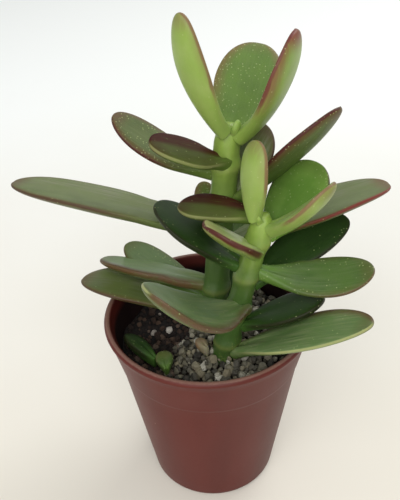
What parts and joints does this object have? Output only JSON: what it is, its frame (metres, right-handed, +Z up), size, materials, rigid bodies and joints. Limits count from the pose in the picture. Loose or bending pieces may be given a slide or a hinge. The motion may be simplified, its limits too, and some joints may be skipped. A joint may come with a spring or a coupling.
{
  "type": "potted jade plant",
  "caption": "Small jade plant with thick rounded leaves on fleshy stems, growing in soil and pale grit in a tapered round plastic nursery pot.",
  "frame": {"origin": "middle of the pot's underside, in the plane it stands on", "axes": "+Z up out of the pot, +X to the plant's right, -Y towards its front"},
  "size_m": [0.0952, 0.065, 0.1324],
  "materials": {
    "plastic": "satin terracotta-brown moulded plastic",
    "soil": "damp dark peat potting soil",
    "grit": "dry pale coarse grit",
    "stem": "satin green fleshy stem with leaf scars",
    "leaf": "glossy green succulent leaf with dark red edge",
    "dry_leaf": "dry papery leaf base"
  },
  "bodies": {
    "root": {"pot": "plastic", "soil": "soil", "grit_layer": "grit", "main_stem": "stem", "side_stem": "stem", "leaf_main_top_left": "leaf", "leaf_main_top_right": "leaf", "leaf_main_top_back": "leaf", "leaf_main_top_front": "leaf", "leaf_main_upper_left": "leaf", "leaf_main_upper_right": "leaf", "leaf_main_upper_back": "leaf", "leaf_main_long_left": "leaf", "leaf_main_long_right": "leaf", "leaf_main_small_back": "leaf", "leaf_main_low_left": "leaf", "leaf_main_low_back": "leaf", "leaf_main_base_left": "leaf", "leaf_main_hidden_back": "leaf", "leaf_main_hidden_low": "leaf", "leaf_side_top_left": "leaf", "leaf_side_top_back": "leaf", "leaf_side_top_right": "leaf", "leaf_side_right": "leaf", "leaf_side_front_left": "leaf", "leaf_side_left": "leaf", "leaf_side_mid_right": "leaf", "leaf_side_back_right": "leaf", "leaf_side_low_front": "leaf", "leaf_side_base_right": "leaf", "leaf_side_far_right": "leaf", "leaf_loose_left": "leaf", "leaf_loose_front": "leaf", "leaf_scrap": "dry_leaf"}
  },
  "joints": []
}
